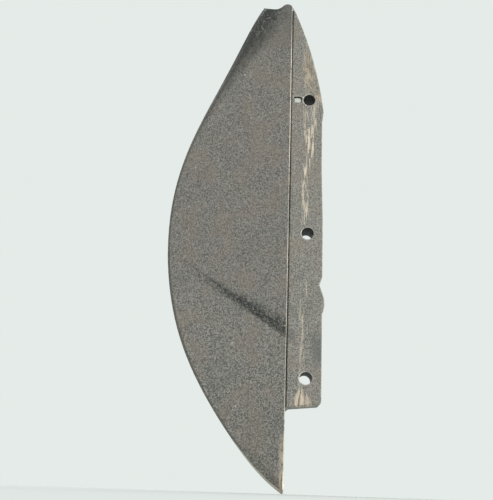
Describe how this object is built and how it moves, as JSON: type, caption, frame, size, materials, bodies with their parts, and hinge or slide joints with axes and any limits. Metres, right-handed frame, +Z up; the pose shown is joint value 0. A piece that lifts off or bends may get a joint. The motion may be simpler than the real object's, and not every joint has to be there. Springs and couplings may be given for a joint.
{
  "type": "seed drill share",
  "caption": "Crescent-shaped wedge share for a seed drill coulter: welded hollow body with a hard point and a drilled mounting bar.",
  "frame": {"origin": "centre of the middle bolt bore, on the share's centre plane", "axes": "+X towards the rear edge of the mounting bar, away from the keel; +Y across the share towards its right side; +Z up towards the crown"},
  "size_m": [0.1308, 0.0312, 0.423],
  "materials": {
    "blasted_steel": "dark shot-blasted steel with a fine granular skin",
    "hard_steel": "hardened steel, ground at the edges",
    "weld_steel": "weld metal, dressed flush and blasted"
  },
  "bodies": {
    "root": {"mounting_bar": "blasted_steel", "left_cheek": "blasted_steel", "right_cheek": "blasted_steel", "crown_cap": "blasted_steel", "upper_rib": "blasted_steel", "middle_rib": "blasted_steel", "lower_rib": "blasted_steel", "share_point": "hard_steel", "keel_seam_weld": "weld_steel", "left_point_weld": "weld_steel", "right_point_weld": "weld_steel", "left_plug_welds": "weld_steel", "right_plug_welds": "weld_steel", "heel_weld": "weld_steel", "rib_welds": "weld_steel"}
  },
  "joints": []
}
